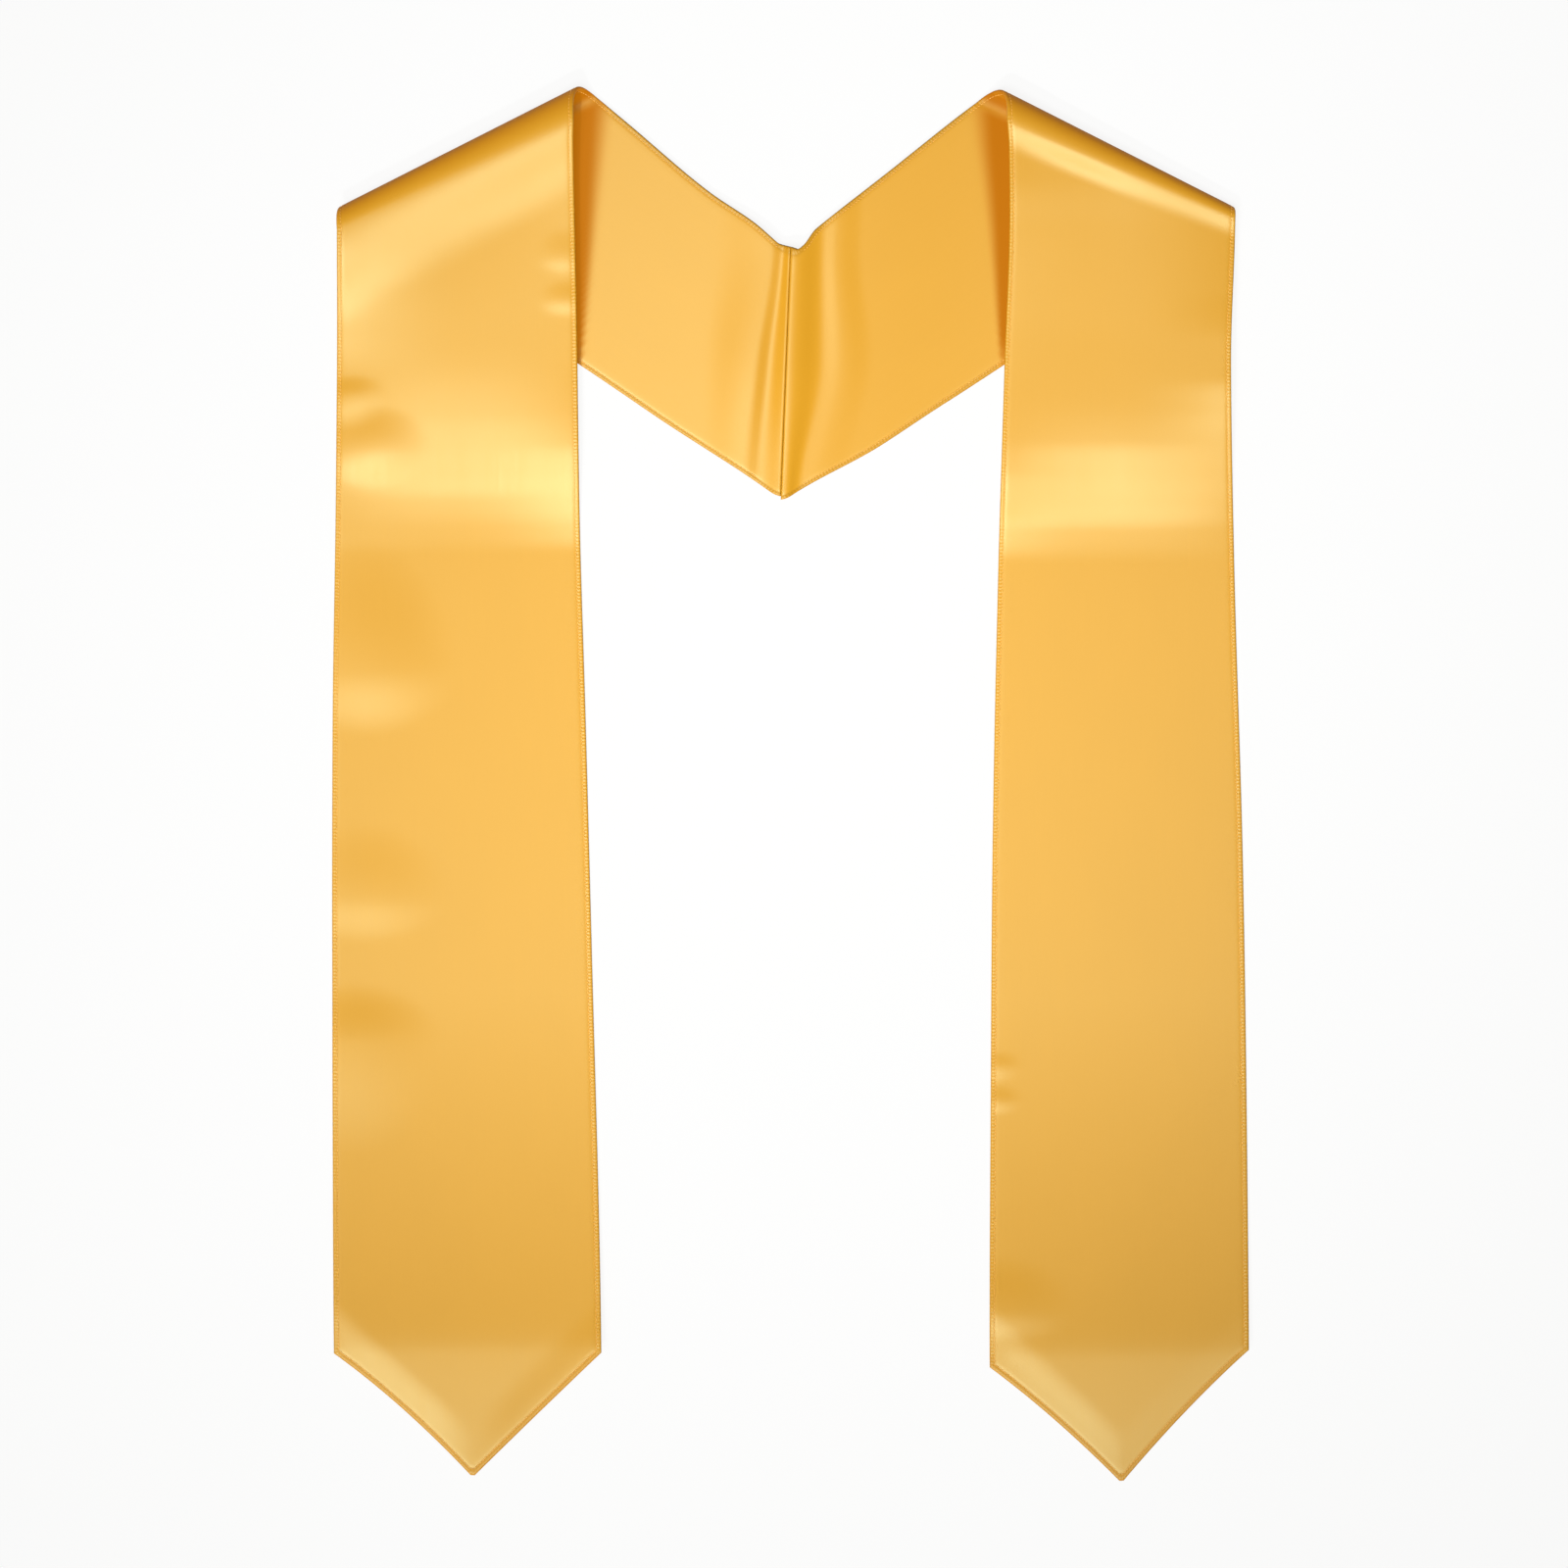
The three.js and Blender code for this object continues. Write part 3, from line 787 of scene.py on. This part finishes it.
def painted_shade_depth(half, middle, lengths, across):
    """How deep the painted shade and glow are: 1 inside the shoulder loop, less on the fold and 0 elsewhere.
    """
    edge_rows = lengths[:, -1] > 0
    edge = middle[edge_rows, -1, :2]
    order = np.argsort(edge[:, 1])
    edge_x = np.interp(middle[..., 1], edge[order, 1], edge[order, 0])
    inwards = -half.side * (middle[..., 0] - edge_x)
    width = LOOP_STRIP_WIDTH + (middle[..., 1] - LOOP_STRIP_FOOT) * LOOP_STRIP_SPREAD
    width = np.maximum(width, LOOP_STRIP_LEAST)
    share = fade((inwards / width - LOOP_STRIP_DEEP) / LOOP_STRIP_FADE)
    roll = half.roll_at(lengths, across)
    from_crease = np.abs(roll.past + roll.lower_arc * CREASE_MIDDLE)
    crease = CREASE_PALENESS * fade(from_crease / (roll.lower_arc * CREASE_REACH))
    in_loop = share * np.clip(width / LOOP_STRIP_WIDTH, 0, 1) * (1 - crease)
    on_fold = FOLD_DEPTH * fade(roll.past / roll.upper_arc)
    return np.where(roll.past < -roll.lower_arc * FOLD_START, in_loop, on_fold)


def stitched_line(lengths, shares):
    """Rows and columns of the mesh along the stitching: down the neck edge, round the point and back."""
    near = STITCH_STEP
    far = shares.shape[1] - 1 - STITCH_STEP
    last = len(lengths) - 1 - STITCH_STEP
    first = len(SEAM_STEPS)
    line = [(row, far) for row in range(first, last)]
    line += [(last, column) for column in range(far, near, -1)]
    line += [(row, near) for row in range(last, first, -1)]
    return tuple(np.array(line).T)


def dress(half, materials):
    """Builds one half: its outer satin, its lining, and the stitches of both."""
    lengths, shares, end = half.grid()
    across = half.across_at(lengths, shares)
    local = half.band_point(lengths, across)
    local[..., 1] += half.seam_corner(local[..., :2], shares)
    spots = half.placed(local[..., :2])
    middle = np.concatenate([spots, local[..., 2:]], axis=-1)
    normals = grid_normals(middle) * half.side
    reach = half.end_width / 2
    from_side = (1 - np.abs(shares)) * reach
    from_end = (end - lengths) * math.cos(half.point_slant)
    edge = np.minimum(from_side, from_end)
    seam = half.seam_distance(local[..., :2]) - SEAM_CLEARANCE
    thickness = half.half_thickness(edge, seam)[..., None]
    along_edge = np.where(from_side <= from_end, lengths, across / math.cos(half.point_slant))
    maps = {
        "cloth": np.stack([across, lengths], axis=-1),
        "border": np.stack([edge, along_edge], axis=-1),
    }
    # Painted shade and painted glow, deepest inside the shoulder loop and less on the fold
    painted_shade_and_glow = painted_shade_depth(half, middle, lengths, across)
    flat_area = float(np.trapz(2 * half.strip_width(lengths[:, 0])[1], lengths[:, 0]))
    aside = fade(seam / SEAM_STAGGER_REACH)[..., None] * np.array((SEAM_STAGGER, 0, 0))
    line = stitched_line(lengths, shares)

    pieces = {}
    for layer, way, shift in (("outer", -1, aside), ("lining", 1, 0)):
        inner = middle + way * normals * LAYER_CLEARANCE + shift
        face = middle + way * normals * thickness + shift
        below, above = (inner, face) if way > 0 else (face, inner)
        satin = closed_sheet(f"{half.name}_{layer}_satin", below, above, maps, half.side < 0)
        attribute = satin.data.attributes.new("painted_shade_and_glow", "FLOAT", "POINT")
        attribute.data.foreach_set("value", np.tile(painted_shade_and_glow.ravel(), 2).astype(np.float32))
        pieces[layer] = (satin, face, way)

    for layer, (satin, face, way) in pieces.items():
        places, along, outward = evenly_spaced(face[line], way * normals[line], STITCH_PITCH)
        places = places + outward * STITCH_LIFT
        stitches = stitch_row(f"{half.name}_{layer}_stitches", places, along, outward)
        satin.data.materials.append(materials[layer])
        stitches.data.materials.append(materials["thread"])
        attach(satin, "root")
        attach(stitches, "root")
        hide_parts(f"{half.name}_{layer}")


# The key light: two rows of soft lamps high up beyond the photograph's lower left corner, with the X of each
# lamp, the Y and Z of each row, their power, the spot that they are aimed at, their radius and their cones
KEY_ACROSS = (-4.8, -3.2, -1.6, 0)
KEY_ROWS = ((-2.4, 11.7), (-4.3, 11.1))
KEY_POWER = 1170
KEY_TARGET = (0.01, 0.09, 0)
KEY_RADIUS = 0.6
KEY_CONE = 8.9

# A narrower lamp from lower down on the same side, which fades towards the pointed ends and to the right
SIDE_PLACE = (-2.4, -7.5, 8)
SIDE_TARGET = (-0.03, 0.14, 0)
SIDE_RADIUS = 0.25
SIDE_CONE = 6.6
SIDE_POWER = 4300

# The floor: half its width, how far it lies below the stole, its own shade, roughness and gloss, and the
# strength and colour of its glow, which keeps it pale and the stole's shadow faint. Then the strength of the
# light all round.
FLOOR_REACH = 4
FLOOR_DROP = 0.0002
FLOOR_SHADE = 0.05
FLOOR_ROUGHNESS = 0.9
FLOOR_GLOSS = 0.1
FLOOR_GLOW = 0.898
FLOOR_GLOW_COLOUR = (1, 1, 0.995)
ROOM_LIGHT = 0.14


def soft_spot(name, place, target, radius, cone, power):
    """A large soft lamp that faces a target and fades towards the edge of its cone."""
    data = bpy.data.lights.new(name, "SPOT")
    data.energy = power
    data.shadow_soft_size = radius
    data.spot_size = math.radians(cone)
    data.spot_blend = 1
    light = bpy.data.objects.new(name, data)
    light.location = place
    light.rotation_euler = (Vector(target) - Vector(place)).to_track_quat("-Z", "Y").to_euler()
    bpy.context.scene.collection.objects.link(light)


def studio():
    """A pale floor that glows, the key lamps, a narrower lamp beside them, and soft light all round."""
    mesh = bpy.data.meshes.new("floor")
    corners = ((-1, -1), (1, -1), (1, 1), (-1, 1))
    mesh.from_pydata([(x * FLOOR_REACH, y * FLOOR_REACH, 0) for x, y in corners], [], [(0, 1, 2, 3)])
    floor = bpy.data.objects.new("floor", mesh)
    floor.location.z = -FLOOR_DROP
    bpy.context.scene.collection.objects.link(floor)
    material = bpy.data.materials.new("floor")
    nodes = Nodes(material)
    nodes.shader.inputs["Base Color"].default_value = (FLOOR_SHADE, FLOOR_SHADE, FLOOR_SHADE, 1)
    nodes.shader.inputs["Roughness"].default_value = FLOOR_ROUGHNESS
    nodes.shader.inputs["Specular IOR Level"].default_value = FLOOR_GLOSS
    nodes.shader.inputs["Emission Color"].default_value = (*FLOOR_GLOW_COLOUR, 1)
    nodes.shader.inputs["Emission Strength"].default_value = FLOOR_GLOW
    mesh.materials.append(material)

    for across in KEY_ACROSS:
        for row in KEY_ROWS:
            soft_spot("key", (across, *row), KEY_TARGET, KEY_RADIUS, KEY_CONE, KEY_POWER)
    soft_spot("side", SIDE_PLACE, SIDE_TARGET, SIDE_RADIUS, SIDE_CONE, SIDE_POWER)
    world = bpy.data.worlds.new("studio")
    world.use_nodes = True
    background = world.node_tree.nodes["Background"]
    background.inputs["Color"].default_value = (1, 1, 1, 1)
    background.inputs["Strength"].default_value = ROOM_LIGHT
    bpy.context.scene.world = world
    bpy.context.scene.view_settings.view_transform = "Standard"


# The photograph's frame, looking straight down: its width on the floor, its middle, the lens and the sensor
FRAME_WIDTH = 0.832
FRAME_MIDDLE = (-0.00338, 0.00026)
LENS = 400
SENSOR = 36


def photograph_camera():
    data = bpy.data.cameras.new("camera")
    data.lens = LENS
    data.sensor_width = SENSOR
    camera = bpy.data.objects.new("camera", data)
    camera.location = (*FRAME_MIDDLE, FRAME_WIDTH * LENS / SENSOR)
    bpy.context.scene.collection.objects.link(camera)
    bpy.context.scene.camera = camera


MATERIALS = {
    "thread": thread_material(),
    # The outer satin gets painted shade and a faint painted glow on the folds; the lining gets deep painted
    # shade and a strong painted glow inside the shoulder loops
    "outer": satin_material("outer_satin", PAINTED_FOLD_SHADE_AND_BORDER, gloss=0.5, glow=0.3, border_depth=0.05),
    "lining": satin_material("lining_satin", PAINTED_LOOP_SHADE_AND_BORDER, gloss=0.46, glow=4.2, border_depth=0.2),
}
for sizes in (LEFT, RIGHT):
    dress(Half(sizes), MATERIALS)
studio()
photograph_camera()
